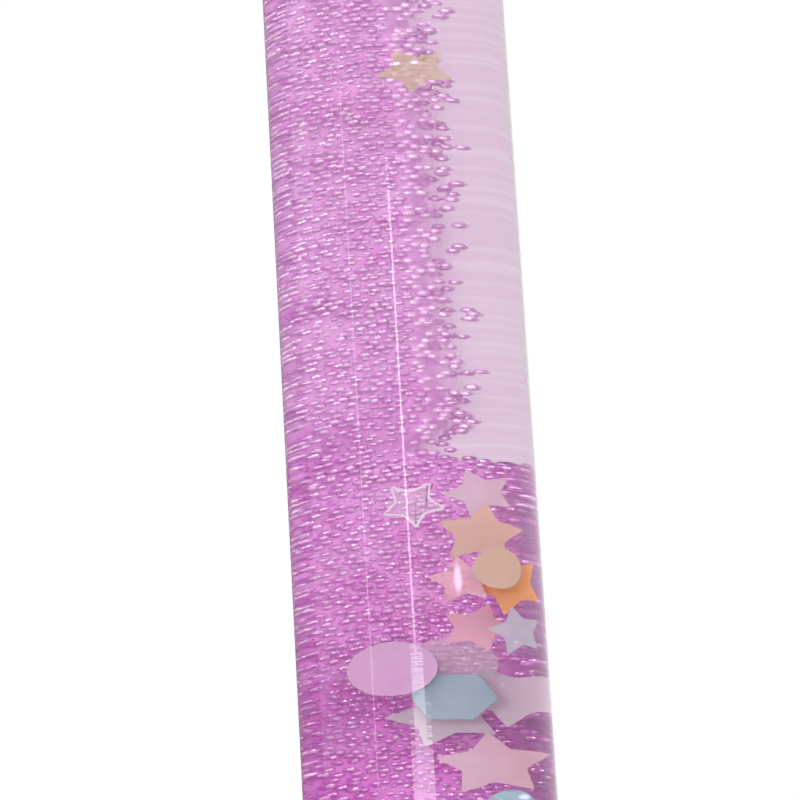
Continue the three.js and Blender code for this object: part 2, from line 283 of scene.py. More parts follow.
class WandSettings(bpy.types.PropertyGroup):
    """All settings of the wand."""

    tube: PointerProperty(type=WandTubeSettings)
    liquid: PointerProperty(type=WandLiquidSettings)
    beads: PointerProperty(type=WandBeadSettings)
    confetti: PointerProperty(type=WandConfettiSettings)
    caps: PointerProperty(type=WandCapSettings)
    stage: PointerProperty(type=WandStageSettings)


# Shared shader groups


def new_group(name, inputs, outputs):
    """An empty shader group with named sockets, and its input and output nodes."""
    group = bpy.data.node_groups.new(name, "ShaderNodeTree")
    for label, kind, default in inputs:
        socket = group.interface.new_socket(label, in_out="INPUT", socket_type=kind)
        socket.default_value = default
    for label, kind in outputs:
        group.interface.new_socket(label, in_out="OUTPUT", socket_type=kind)
    return group, group.nodes.new("NodeGroupInput"), group.nodes.new("NodeGroupOutput")


def colour_mix(tree):
    """A node that mixes two colours."""
    mix = tree.nodes.new("ShaderNodeMix")
    mix.data_type = "RGBA"
    return mix


def vector_step(tree, operation):
    """A node that does one sum on vectors."""
    node = tree.nodes.new("ShaderNodeVectorMath")
    node.operation = operation
    return node


def fade_between(tree, start, stop, smooth=False):
    """A node that goes from 0 at one value to 1 at another."""
    fade = tree.nodes.new("ShaderNodeMapRange")
    fade.inputs["From Min"].default_value = start
    fade.inputs["From Max"].default_value = stop
    if smooth:
        fade.interpolation_type = "SMOOTHSTEP"
    return fade


def soft_mottle():
    """Cloudy change between two colours over a surface."""
    name = "Soft Mottle"
    if name in bpy.data.node_groups:
        return bpy.data.node_groups[name]
    group, given, result = new_group(
        name,
        [
            ("Light", "NodeSocketColor", (1, 1, 1, 1)),
            ("Deep", "NodeSocketColor", (0.5, 0.5, 0.5, 1)),
            ("Scale", "NodeSocketFloat", 200),
            ("Detail", "NodeSocketFloat", 3),
        ],
        [("Color", "NodeSocketColor")],
    )
    place = group.nodes.new("ShaderNodeTexCoord")
    cloud = group.nodes.new("ShaderNodeTexNoise")
    spread = fade_between(group, 0.32, 0.68)
    mix = colour_mix(group)
    link = group.links.new
    link(place.outputs["Object"], cloud.inputs["Vector"])
    link(given.outputs["Scale"], cloud.inputs["Scale"])
    link(given.outputs["Detail"], cloud.inputs["Detail"])
    link(cloud.outputs["Fac"], spread.inputs["Value"])
    link(spread.outputs["Result"], mix.inputs["Factor"])
    link(given.outputs["Light"], mix.inputs["A"])
    link(given.outputs["Deep"], mix.inputs["B"])
    link(mix.outputs["Result"], result.inputs["Color"])
    return group


def ridges_and_painted_streaks():
    """Fine level streaks round the tube: drawn ridges as bumps on the tube, painted pale streaks
    of refracted light in the liquid.
    """
    name = "Drawn Streaks"
    if name in bpy.data.node_groups:
        return bpy.data.node_groups[name]
    group, given, result = new_group(
        name,
        [
            ("Around", "NodeSocketFloat", 120),
            ("Along", "NodeSocketFloat", 1800),
            ("Low", "NodeSocketFloat", 0.4),
            ("High", "NodeSocketFloat", 0.7),
        ],
        [("Mask", "NodeSocketFloat")],
    )
    place = group.nodes.new("ShaderNodeTexCoord")
    stretch = group.nodes.new("ShaderNodeCombineXYZ")
    scaled = vector_step(group, "MULTIPLY")
    lines = group.nodes.new("ShaderNodeTexNoise")
    lines.inputs["Scale"].default_value = 1
    lines.inputs["Detail"].default_value = 2
    spread = group.nodes.new("ShaderNodeMapRange")
    link = group.links.new
    link(given.outputs["Around"], stretch.inputs["X"])
    link(given.outputs["Around"], stretch.inputs["Y"])
    link(given.outputs["Along"], stretch.inputs["Z"])
    link(place.outputs["Object"], scaled.inputs[0])
    link(stretch.outputs["Vector"], scaled.inputs[1])
    link(scaled.outputs["Vector"], lines.inputs["Vector"])
    link(lines.outputs["Fac"], spread.inputs["Value"])
    link(given.outputs["Low"], spread.inputs["From Min"])
    link(given.outputs["High"], spread.inputs["From Max"])
    link(spread.outputs["Result"], result.inputs["Mask"])
    return group


def height_tone():
    """Colour of the beads: one tone low down, one high up, with cloudy patches."""
    name = "Settled Tone"
    if name in bpy.data.node_groups:
        return bpy.data.node_groups[name]
    group, given, result = new_group(
        name,
        [
            ("Lower", "NodeSocketColor", (0.5, 0.5, 0.5, 1)),
            ("Upper", "NodeSocketColor", (1, 1, 1, 1)),
            ("Fade Low", "NodeSocketFloat", 0.1),
            ("Fade High", "NodeSocketFloat", 0.15),
            ("Patch", "NodeSocketFloat", 300),
        ],
        [("Color", "NodeSocketColor")],
    )
    place = group.nodes.new("ShaderNodeTexCoord")
    parts = group.nodes.new("ShaderNodeSeparateXYZ")
    fade = group.nodes.new("ShaderNodeMapRange")
    cloud = group.nodes.new("ShaderNodeTexNoise")
    cloud.inputs["Detail"].default_value = 3
    patch = fade_between(group, 0.3, 0.7)
    patch.inputs["To Min"].default_value = -0.3
    patch.inputs["To Max"].default_value = 0.3
    total = group.nodes.new("ShaderNodeMath")
    total.operation = "ADD"
    mix = colour_mix(group)
    link = group.links.new
    link(place.outputs["Object"], parts.inputs["Vector"])
    link(place.outputs["Object"], cloud.inputs["Vector"])
    link(given.outputs["Patch"], cloud.inputs["Scale"])
    link(parts.outputs["Z"], fade.inputs["Value"])
    link(given.outputs["Fade Low"], fade.inputs["From Min"])
    link(given.outputs["Fade High"], fade.inputs["From Max"])
    link(cloud.outputs["Fac"], patch.inputs["Value"])
    link(fade.outputs["Result"], total.inputs[0])
    link(patch.outputs["Result"], total.inputs[1])
    link(total.outputs["Value"], mix.inputs["Factor"])
    link(given.outputs["Lower"], mix.inputs["A"])
    link(given.outputs["Upper"], mix.inputs["B"])
    link(mix.outputs["Result"], result.inputs["Color"])
    return group


def moulded_skin():
    """Uneven gloss and fine grain of a moulded surface."""
    name = "Moulded Skin"
    if name in bpy.data.node_groups:
        return bpy.data.node_groups[name]
    group, given, result = new_group(
        name,
        [
            ("Grain", "NodeSocketFloat", 2500),
            ("Smooth", "NodeSocketFloat", 0.25),
            ("Dull", "NodeSocketFloat", 0.4),
        ],
        [("Roughness", "NodeSocketFloat"), ("Height", "NodeSocketFloat")],
    )
    place = group.nodes.new("ShaderNodeTexCoord")
    patch = group.nodes.new("ShaderNodeTexNoise")
    patch.inputs["Scale"].default_value = 180
    patch.inputs["Detail"].default_value = 4
    gloss = group.nodes.new("ShaderNodeMapRange")
    grain = group.nodes.new("ShaderNodeTexNoise")
    grain.inputs["Detail"].default_value = 2
    link = group.links.new
    link(place.outputs["Object"], patch.inputs["Vector"])
    link(place.outputs["Object"], grain.inputs["Vector"])
    link(given.outputs["Grain"], grain.inputs["Scale"])
    link(patch.outputs["Fac"], gloss.inputs["Value"])
    link(given.outputs["Smooth"], gloss.inputs["To Min"])
    link(given.outputs["Dull"], gloss.inputs["To Max"])
    link(gloss.outputs["Result"], result.inputs["Roughness"])
    link(grain.outputs["Fac"], result.inputs["Height"])
    return group


def film_glint():
    """Bright spot with a soft edge on a film."""
    name = "Film Glint"
    if name in bpy.data.node_groups:
        return bpy.data.node_groups[name]
    group, given, result = new_group(
        name,
        [
            ("Spot", "NodeSocketVector", (0, 0, 0)),
            ("Reach", "NodeSocketVector", (1, 1, 1)),
        ],
        [("Mask", "NodeSocketFloat")],
    )
    place = group.nodes.new("ShaderNodeTexCoord")
    offset = vector_step(group, "SUBTRACT")
    scaled = vector_step(group, "DIVIDE")
    away = vector_step(group, "LENGTH")
    fade = fade_between(group, 1, 0.3, smooth=True)
    link = group.links.new
    link(place.outputs["Object"], offset.inputs[0])
    link(given.outputs["Spot"], offset.inputs[1])
    link(offset.outputs["Vector"], scaled.inputs[0])
    link(given.outputs["Reach"], scaled.inputs[1])
    link(scaled.outputs["Vector"], away.inputs[0])
    link(away.outputs["Value"], fade.inputs["Value"])
    link(fade.outputs["Result"], result.inputs["Mask"])
    return group


# Materials


def new_material(name):
    """A material with its Principled shader, and the tree that holds it."""
    material = bpy.data.materials.new(name)
    material.use_nodes = True
    tree = material.node_tree
    return material, tree, tree.nodes["Principled BSDF"]


def place_group(tree, group, **values):
    """Puts a shared group into a material with its own values."""
    node = tree.nodes.new("ShaderNodeGroup")
    node.node_tree = group
    for label, value in values.items():
        socket = node.inputs[label]
        socket.default_value = (*value, 1) if socket.type == "RGBA" else value
    return node


def add_bump(tree, shader, height, strength, distance):
    """Turns a height into the shader's normal."""
    bump = tree.nodes.new("ShaderNodeBump")
    bump.inputs["Strength"].default_value = strength
    bump.inputs["Distance"].default_value = distance
    tree.links.new(height, bump.inputs["Height"])
    tree.links.new(bump.outputs["Normal"], shader.inputs["Normal"])


def let_light_through(tree, shader):
    """Lets lamps and light from the contents pass straight through a clear surface."""
    path = tree.nodes.new("ShaderNodeLightPath")
    clear = tree.nodes.new("ShaderNodeBsdfTransparent")
    surface = shader
    for ray in ("Is Diffuse Ray", "Is Shadow Ray"):
        mix = tree.nodes.new("ShaderNodeMixShader")
        tree.links.new(path.outputs[ray], mix.inputs["Fac"])
        tree.links.new(surface, mix.inputs[1])
        tree.links.new(clear.outputs["BSDF"], mix.inputs[2])
        surface = mix.outputs["Shader"]
    tree.links.new(surface, tree.nodes["Material Output"].inputs["Surface"])


def clear_plastic(settings):
    """Outside of the tube, with faint drawn ridges."""
    material, tree, shader = new_material("clear_plastic")
    shader.inputs["Base Color"].default_value = (1, 1, 1, 1)
    shader.inputs["Roughness"].default_value = 0.0
    shader.inputs["Transmission Weight"].default_value = 1
    shader.inputs["IOR"].default_value = settings.refraction
    ridges = place_group(tree, ridges_and_painted_streaks(), Around=90, Along=2200, Low=0.3, High=0.8)
    add_bump(tree, shader, ridges.outputs["Mask"], settings.ridge, 0.05 * MM)
    let_light_through(tree, shader.outputs["BSDF"])
    return material


def wet_wall():
    """Inside of the tube where the liquid wets it, which can't be seen."""
    material, tree, shader = new_material("wet_wall")
    clear = tree.nodes.new("ShaderNodeBsdfTransparent")
    tree.links.new(clear.outputs["BSDF"], tree.nodes["Material Output"].inputs["Surface"])
    tree.nodes.remove(shader)
    return material


def liquid_with_painted_back(settings):
    """Side of the liquid: clear in front; behind the contents painted with a pink tint for light
    scattered from the beads, and with pale streaks for refracted light.
    """
    material, tree, shader = new_material("liquid_with_painted_back")
    link = tree.links.new
    # Painted light: pink tint and pale streaks behind the contents
    painted_streaks = place_group(tree, ridges_and_painted_streaks(), Around=70, Along=1500, Low=0.45, High=0.72)
    place = tree.nodes.new("ShaderNodeTexCoord")
    parts = tree.nodes.new("ShaderNodeSeparateXYZ")
    behind = fade_between(tree, 0.1 * CONTENT_RADIUS, 0.8 * CONTENT_RADIUS, smooth=True)
    back = colour_mix(tree)
    back.inputs["A"].default_value = (*settings.back_tint, 1)
    back.inputs["B"].default_value = (*settings.streak_tint, 1)
    tint = colour_mix(tree)
    tint.inputs["A"].default_value = (*settings.front_tint, 1)
    clear = tree.nodes.new("ShaderNodeBsdfTransparent")
    link(place.outputs["Object"], parts.inputs["Vector"])
    link(parts.outputs["Y"], behind.inputs["Value"])
    link(painted_streaks.outputs["Mask"], back.inputs["Factor"])
    link(behind.outputs["Result"], tint.inputs["Factor"])
    link(back.outputs["Result"], tint.inputs["B"])
    link(tint.outputs["Result"], clear.inputs["Color"])
    link(clear.outputs["BSDF"], tree.nodes["Material Output"].inputs["Surface"])
    tree.nodes.remove(shader)
    return material


def liquid_surface(settings):
    """Free surface of the liquid under the air space."""
    material, tree, shader = new_material("liquid_surface")
    shader.inputs["Base Color"].default_value = (*settings.liquid.front_tint, 1)
    shader.inputs["Roughness"].default_value = 0.0
    shader.inputs["Transmission Weight"].default_value = 1
    shader.inputs["IOR"].default_value = settings.tube.refraction
    let_light_through(tree, shader.outputs["BSDF"])
    return material


def bead_tone(tree, settings, upper):
    """The colour of the beds, the same on beads and core."""
    values = {"Lower": settings.lower, "Upper": upper, "Patch": 320}
    values["Fade Low"] = settings.fade_low
    values["Fade High"] = settings.fade_high
    return place_group(tree, height_tone(), **values).outputs["Color"]


def pass_light_on(shader, settings, upper):
    """A faint even glow, for the light that beads pass on to one another."""
    tone = Vector(settings.lower).lerp(Vector(upper), 0.5)
    shader.inputs["Emission Color"].default_value = (*tone, 1)
    shader.inputs["Emission Strength"].default_value = settings.glow


def glossy_bead(name, settings, upper, outline):
    """Pearly beads with a painted dark upper rim, the shade that light bending in clear beads
    would give.
    """
    material, tree, shader = new_material(name)
    link = tree.links.new
    shape = tree.nodes.new("ShaderNodeNewGeometry")
    parts = tree.nodes.new("ShaderNodeSeparateXYZ")
    facing = tree.nodes.new("ShaderNodeLayerWeight")
    facing.inputs["Blend"].default_value = 0.5
    # Painted shade: the upper side of each bead darkens toward its rim
    upward = fade_between(tree, 0.3, 0.8)
    rim = tree.nodes.new("ShaderNodeMath")
    rim.operation = "MULTIPLY"
    mix = colour_mix(tree)
    mix.inputs["B"].default_value = (*outline, 1)
    link(shape.outputs["Normal"], parts.inputs["Vector"])
    link(parts.outputs["Z"], upward.inputs["Value"])
    link(upward.outputs["Result"], rim.inputs[0])
    link(facing.outputs["Facing"], rim.inputs[1])
    link(rim.outputs["Value"], mix.inputs["Factor"])
    link(bead_tone(tree, settings, upper), mix.inputs["A"])
    link(mix.outputs["Result"], shader.inputs["Base Color"])
    pass_light_on(shader, settings, upper)
    skin = place_group(tree, moulded_skin(), Grain=4000, Smooth=0.06, Dull=0.12)
    link(skin.outputs["Roughness"], shader.inputs["Roughness"])
    shader.inputs["IOR"].default_value = BEAD_SHINE
    return material


def bead_shade(settings):
    """Soft ground of beads behind the top layer."""
    material, tree, shader = new_material("bead_shade")
    tone = bead_tone(tree, settings, settings.upper)
    tree.links.new(tone, shader.inputs["Base Color"])
    pass_light_on(shader, settings, settings.upper)
    cover = tree.nodes.new("ShaderNodeAttribute")
    cover.attribute_name = "cover"
    tree.links.new(cover.outputs["Fac"], shader.inputs["Alpha"])
    skin = place_group(tree, moulded_skin(), Grain=1500, Smooth=0.4, Dull=0.6)
    tree.links.new(skin.outputs["Roughness"], shader.inputs["Roughness"])
    add_bump(tree, shader, skin.outputs["Height"], 0.4, 0.2 * MM)
    shader.inputs["IOR"].default_value = CORE_SHINE
    return material


def pearl_film(name, tone, cover, gloss):
    """Pearly punched film that shifts in colour over its face."""
    material, tree, shader = new_material(name)
    pale = tuple(part + 0.12 * (0.85 - part) for part in tone)
    mottle = place_group(
        tree, soft_mottle(), Light=pale, Deep=tuple(tone), Scale=260, Detail=2
    )
    skin = place_group(tree, moulded_skin(), Grain=900, Smooth=0.2, Dull=0.34)
    tree.links.new(mottle.outputs["Color"], shader.inputs["Base Color"])
    tree.links.new(skin.outputs["Roughness"], shader.inputs["Roughness"])
    add_bump(tree, shader, skin.outputs["Height"], gloss, 0.9 * MM)
    shader.inputs["Alpha"].default_value = cover
    shader.inputs["Coat Weight"].default_value = gloss
    shader.inputs["Coat Roughness"].default_value = 0.06
    shader.inputs["Coat IOR"].default_value = 1.9
    shader.inputs["Specular IOR Level"].default_value = 0.25
    shader.inputs["Thin Film Thickness"].default_value = 420
    shader.inputs["Thin Film IOR"].default_value = 1.4
    return material


def add_glints(look, node, tint, strength):
    """Lights the bright spots of a glossy flake."""
    low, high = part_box(node)
    middle = (low + high) / 2
    tree = look.node_tree
    shader = tree.nodes["Principled BSDF"]
    lit = None
    for (right, above), (half_width, half_height) in GLINTS.get(node, ()):
        spot = middle + Vector((right, 0, above)) * MM
        reach = (half_width * MM, 1, half_height * MM)
        mask = place_group(tree, film_glint(), Spot=spot, Reach=reach).outputs["Mask"]
        mix = colour_mix(tree)
        mix.inputs["A"].default_value = (0, 0, 0, 1)
        mix.inputs["B"].default_value = (*tint, 1)
        tree.links.new(mask, mix.inputs["Factor"])
        if lit:
            tree.links.new(lit, mix.inputs["A"])
        lit = mix.outputs["Result"]
    if lit:
        tree.links.new(lit, shader.inputs["Emission Color"])
        shader.inputs["Emission Strength"].default_value = strength


def moulded_plastic(name, light, deep, smooth, dull):
    """Moulded plastic or rubber with a faint mottle and grain."""
    material, tree, shader = new_material(name)
    mottle = place_group(tree, soft_mottle(), Light=light, Deep=deep, Scale=90, Detail=4)
    skin = place_group(tree, moulded_skin(), Grain=2600, Smooth=smooth, Dull=dull)
    tree.links.new(mottle.outputs["Color"], shader.inputs["Base Color"])
    tree.links.new(skin.outputs["Roughness"], shader.inputs["Roughness"])
    add_bump(tree, shader, skin.outputs["Height"], 0.15, 0.05 * MM)
    return material


# Mesh helpers


def spin_profile(profile, steps, closed):
    """Spins (radius, height) points round the Z axis into a closed skin."""
    bm = bmesh.new()
    corners = [bm.verts.new((radius, 0, height)) for radius, height in profile]
    edges = [bm.edges.new(pair) for pair in zip(corners, corners[1:])]
    if closed:
        edges.append(bm.edges.new((corners[-1], corners[0])))
    bmesh.ops.spin(
        bm,
        geom=corners + edges,
        cent=(0, 0, 0),
        axis=(0, 0, 1),
        angle=2 * math.pi,
        steps=steps,
        use_merge=True,
    )
    bmesh.ops.remove_doubles(bm, verts=bm.verts, dist=1e-7)
    bmesh.ops.recalc_face_normals(bm, faces=bm.faces)
    return bm


def round_corner(centre, radius, start, stop, steps=6):
    """Profile points of a round corner between two angles in degrees."""
    points = []
    for step in range(steps + 1):
        turn = math.radians(start + (stop - start) * step / steps)
        points.append((centre[0] + radius * math.cos(turn), centre[1] + radius * math.sin(turn)))
    return points


def add_piece(name, bm, materials, stands_for=(), body=WAND_BODY, crease=30):
    """Makes a bmesh into a piece that rides on a body."""
    mesh = bpy.data.meshes.new(name)
    bm.to_mesh(mesh)
    bm.free()
    for face in mesh.polygons:
        face.use_smooth = True
    mesh.set_sharp_from_angle(angle=math.radians(crease))
    for material in materials:
        mesh.materials.append(material)
    piece = bpy.data.objects.new(name, mesh)
    bpy.context.scene.collection.objects.link(piece)
    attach(piece, body)
    if stands_for:
        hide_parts(*stands_for)


# Pieces


class WAND_OT_tube(bpy.types.Operator):
    """Make the clear tube"""

    bl_idname = "wand.tube"
    bl_label = "Tube"

    def execute(self, context):
        settings = context.scene.wand.tube
        bore = TUBE_RADIUS - settings.wall
        edge = 0.4 * MM
        low, high = TUBE_LOW.z, TUBE_HIGH.z
        level = LIQUID_HIGH.z + context.scene.wand.liquid.meniscus
        hold = 2 * MM
        profile = [
            (bore + edge, low),
            *round_corner((TUBE_RADIUS - edge, low + edge), edge, -90, 0, 3),
            (TUBE_RADIUS, low + hold),
            (TUBE_RADIUS, high - hold),
            *round_corner((TUBE_RADIUS - edge, high - edge), edge, 0, 90, 3),
            (bore + edge, high),
            (bore, high - edge),
            (bore, level),
            (bore, low + edge),
        ]
        bm = spin_profile(profile, settings.steps, closed=True)
        for face in bm.faces:
            middle = face.calc_center_median()
            inside = middle.to_2d().length < bore + 0.1 * MM
            face.material_index = int(inside and middle.z < level)
        add_piece("clear_tube", bm, [clear_plastic(settings), wet_wall()], ["tube"])
        return {"FINISHED"}


class WAND_OT_liquid(bpy.types.Operator):
    """Fill the tube with liquid whose back is painted with the beads' light"""

    bl_idname = "wand.liquid"
    bl_label = "Liquid"

    def execute(self, context):
        wand = context.scene.wand
        radius = TUBE_RADIUS - wand.tube.wall - wand.liquid.film
        level, climb = LIQUID_HIGH.z, wand.liquid.meniscus
        brim = level + climb
        profile = [
            (0, PLUG_HIGH.z + wand.liquid.film),
            (radius, PLUG_HIGH.z + wand.liquid.film),
            (radius, brim),
            *round_corner((radius - climb, brim), climb, 0, -90)[1:],
            (0, level),
        ]
        bm = spin_profile(profile, wand.tube.steps, closed=False)
        for face in bm.faces:
            face.material_index = int(face.calc_center_median().z > level - 0.1 * climb)
            if abs(face.normal.z) < 0.1:
                face.material_index = 0
        # The liquid's side carries painted light behind the contents
        looks = [liquid_with_painted_back(wand.liquid), liquid_surface(wand)]
        add_piece("liquid_with_painted_back", bm, looks, ["liquid"])
        return {"FINISHED"}


def edge_angle(points, height):
    """Angle of a bed's edge at a height, between the nearest points of the edge."""
    level = (height - BREAK) / MM
    if level <= points[0][0]:
        return math.radians(points[0][1])
    for (low, start), (high, stop) in zip(points, points[1:]):
        if level < high:
            return math.radians(start + (stop - start) * (level - low) / (high - low))
    return math.radians(points[-1][1])


class BedShape:
    """Top and wall of the bead beds at any height."""

    def __init__(self, settings):
        self.settings = settings
        self.bead = settings.diameter / 2
        self.wall = CONTENT_RADIUS - self.bead
        self.low, self.high = LOWER_BED_LOW.z, UPPER_BED_HIGH.z

    def half(self, height):
        """Half of the angle that the bed takes up on the wall."""
        return (edge_angle(LEFT_EDGE, height) + edge_angle(RIGHT_EDGE, height)) / 2

    def lean(self, height):
        """Lean of the top to the left."""
        return (edge_angle(LEFT_EDGE, height) - edge_angle(RIGHT_EDGE, height)) / 2

    def place(self, across, deep, height):
        """A point given by its distance across the top and its depth behind the top."""
        distance = self.wall * math.cos(self.half(height)) + deep
        turn = Matrix.Rotation(self.lean(height), 3, "Z")
        return turn @ Vector((across, distance, height))

    def on_wall(self, turn, height):
        """A point against the tube's wall."""
        turn = Matrix.Rotation(self.lean(height) + turn, 3, "Z")
        return turn @ Vector((0, self.wall, height))

    def rows(self):
        """Heights of the rows of beads."""
        step = self.settings.pitch * math.sqrt(3) / 2
        count = int((self.high - self.low - self.settings.diameter) / step)
        return [self.low + self.bead + row * step for row in range(count + 1)]


def top_beads(shape, chance):
    """Places of the beads on top of the beds, thinned out along the right edge."""
    settings = shape.settings
    pitch, loose = settings.pitch, settings.scatter * settings.pitch
    places, edge = [], []
    for row, height in enumerate(shape.rows()):
        reach = shape.wall * math.sin(shape.half(height))
        for step in range(int(2 * reach / pitch) + 1):
            across = -reach + (step + 0.5 * (row % 2)) * pitch + chance.uniform(-loose, loose)
            up = height + chance.uniform(-loose, loose)
            mound = noise.noise(Vector((across, up, 0)) / (3 * MM)) * settings.swell
            deep = mound + chance.uniform(-settings.depth, settings.depth)
            point = shape.place(across, deep, up)
            kept = reach - across > settings.fray * chance.random()
            if kept and point.to_2d().length < shape.wall:
                thin = height > BREAK and reach - across < settings.fray
                (edge if thin else places).append(point)
    return places, edge


def wall_beads(shape, chance):
    """Places of the beads that lie against the wall, thinned out along the right edge."""
    settings = shape.settings
    loose = settings.scatter * settings.pitch
    turn_step = settings.pitch / shape.wall
    fray = settings.fray / shape.wall
    places, edge = [], []
    for row, height in enumerate(shape.rows()):
        half = shape.half(height)
        for step in range(int(2 * half / turn_step) + 1):
            turn = half - (step + 0.5 * (row % 2)) * turn_step
            up = height + chance.uniform(-loose, loose)
            if half + turn > fray * chance.random():
                thin = height > BREAK and half + turn < fray
                turn += chance.uniform(-loose, loose) / shape.wall
                (edge if thin else places).append(shape.on_wall(turn, up))
    return places, edge


def pour_beads(name, places, diameter, chance, look):
    """Joins one small ball for each place into a piece."""
    ball = bmesh.new()
    bmesh.ops.create_uvsphere(ball, u_segments=7, v_segments=5, radius=diameter / 2)
    pattern = bpy.data.meshes.new("bead")
    ball.to_mesh(pattern)
    ball.free()
    bm = bmesh.new()
    for place in places:
        size = chance.uniform(*BEAD_SIZES)
        turn = Matrix.Rotation(chance.uniform(0, math.pi), 4, "X")
        bead = pattern.copy()
        bead.transform(Matrix.Translation(place) @ turn @ Matrix.Scale(size, 4))
        bm.from_mesh(bead)
        bpy.data.meshes.remove(bead)
    bpy.data.meshes.remove(pattern)
    add_piece(name, bm, [look], crease=180)


def core_section(shape, height):
    """Corners of the core at a height and their cover, along the wall and back along the top."""
    settings = shape.settings
    fray, half = settings.fray, shape.half(height)
    reach = shape.wall * math.sin(half)
    steps = 24
    corners = []
    for step in range(steps + 1):
        turn = half * (2 * step / steps - 1)
        cover = min(1, shape.wall * (half + turn) / fray) ** 2
        corners.append((shape.on_wall(turn, height), cover))
    corners.append((shape.place(0.2 * fray - reach, -settings.rise, height), 1))
    for step in range(FADE_ROWS, 0, -1):
        inset = fray * step / FADE_ROWS
        rise = min(settings.rise, inset - 0.4 * fray)
        corners.append((shape.place(reach - inset, -rise, height), (step / FADE_ROWS) ** 2))
    return corners


def bed_core(shape, low, high):
    """The inside of a bead bed, lofted through level sections."""
    bm = bmesh.new()
    layer = bm.verts.layers.float.new("cover")
    count = math.ceil((high - low) / (1.5 * MM))
    loops = []
    for station in range(count + 1):
        corners = []
        for place, cover in core_section(shape, low + (high - low) * station / count):
            corner = bm.verts.new(place)
            corner[layer] = cover
            corners.append(corner)
        loops.append([bm.edges.new(pair) for pair in zip(corners, corners[1:] + corners[:1])])
    for below, above in zip(loops, loops[1:]):
        bmesh.ops.bridge_loops(bm, edges=below + above)
    bmesh.ops.holes_fill(bm, edges=loops[0] + loops[-1])
    bmesh.ops.recalc_face_normals(bm, faces=bm.faces)
    return bm


class WAND_OT_beads(bpy.types.Operator):
    """Pour the beads and settle them on the back of the bore"""

    bl_idname = "wand.beads"
    bl_label = "Beads"

    def execute(self, context):
        settings = context.scene.wand.beads
        chance = random.Random(settings.seed)
        shape = BedShape(settings)
        # Beads with painted shade on their upper rims
        look = glossy_bead("glossy_bead", settings, settings.upper, settings.outline)
        # Edge beads take a paler copy of the bead look, painted light
        lit_edge_look = glossy_bead("edge_bead", settings, settings.edge, settings.edge_outline)
        shade = bead_shade(settings)
        spans = {
            "lower": (shape.low + shape.bead, BREAK),
            "upper": (BREAK, shape.high - shape.bead),
        }
        for side, span in spans.items():
            core = bed_core(shape, *span)
            add_piece(f"{side}_bed_core", core, [shade], [f"{side}_bead_bed"])
        tall = (shape.high - shape.low) / BEAD_SLICES
        for layer, spread in (("top", top_beads), ("wall", wall_beads)):
            places, edge = spread(shape, chance)
            pour_beads(f"{layer}_edge_beads", edge, settings.diameter, chance, lit_edge_look)
            for part in range(BEAD_SLICES):
                low = shape.low + part * tall
                inside = [place for place in places if low <= place.z < low + tall]
                name = f"{layer}_beads_{part + 1}"
                pour_beads(name, inside, settings.diameter, chance, look)
        return {"FINISHED"}


def flake_shape(node, settings, chance):
    """A flake's own shape with rounded tips, curled a little about an upright line."""
    low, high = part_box(node)
    middle, size = (low + high) / 2, high - low
    through = 0 if size.x < size.y else 1
    across = 1 - through
    thickness = size[through]
    bm = bmesh.new()
    bm.from_mesh(frame["nodes"][node].data)
    bmesh.ops.remove_doubles(bm, verts=bm.verts, dist=1e-7)
    bmesh.ops.dissolve_limit(
        bm, angle_limit=math.radians(2), verts=bm.verts, edges=bm.edges
    )
    if len(bm.verts) < ROUND_CORNERS:
        corners = []
        for edge in bm.edges:
            span = abs(edge.verts[0].co[through] - edge.verts[1].co[through])
            if span > 0.9 * thickness:
                corners.append(edge)
        bmesh.ops.bevel(
            bm,
            geom=corners,
            offset=settings.tip_round,
            offset_type="OFFSET",
            segments=3,
            profile=0.5,
            affect="EDGES",
            material=-1,
        )
    # Inset rim that carries the painted edge highlight
    if node in BRIGHT_EDGES:
        bm.normal_update()
        faces = [face for face in bm.faces if abs(face.normal[through]) > 0.9]
        width = BRIGHT_EDGES[node] * MM
        rim = bmesh.ops.inset_individual(
            bm, faces=faces, thickness=width, use_even_offset=True
        )
        for face in rim["faces"]:
            face.material_index = 1
    normal = Vector((0, 0, 0))
    normal[across] = 1
    for cut in range(1, CURL_STRIPS):
        spot = middle.copy()
        spot[across] = low[across] + size[across] * cut / CURL_STRIPS
        bmesh.ops.bisect_plane(
            bm,
            geom=bm.verts[:] + bm.edges[:] + bm.faces[:],
            plane_co=spot,
            plane_no=normal,
        )
    rise = settings.curl * chance.uniform(-1, 1)
    for vert in bm.verts:
        way = 2 * (vert.co[across] - middle[across]) / size[across]
        vert.co[through] += rise * (way * way - 0.5)
    return bm


class WAND_OT_confetti(bpy.types.Operator):
    """Make the punched film flakes"""

    bl_idname = "wand.confetti"
    bl_label = "Confetti"

    def execute(self, context):
        settings = context.scene.wand.confetti
        chance = random.Random(settings.seed)
        slots = {part["node"]: part["material_slot"] for part in frame["record"]["subparts"]}
        for node, slot in slots.items():
            if not slot.startswith("film_"):
                continue
            tone, cover = Vector(getattr(settings, slot)), settings.cover
            if node in SHEER_FLAKES:
                milky, cover = SHEER_FLAKES[node]
                tone = tone.lerp(Vector(settings.milk), milky)
            gloss = settings.gloss if node in GLOSSY_FLAKES else 0
            look = pearl_film(f"{node}_film", tone, cover, gloss)
            add_glints(look, node, settings.glint, settings.glint_power / cover)
            looks = [look]
            if node in BRIGHT_EDGES:
                # Painted highlight of paler film on the cut edge
                looks.append(pearl_film(f"{node}_edge", settings.cut_edge, settings.cover, 0))
            bm = flake_shape(node, settings, chance)
            add_piece(f"{node}_film", bm, looks, [node], body=node)
        return {"FINISHED"}


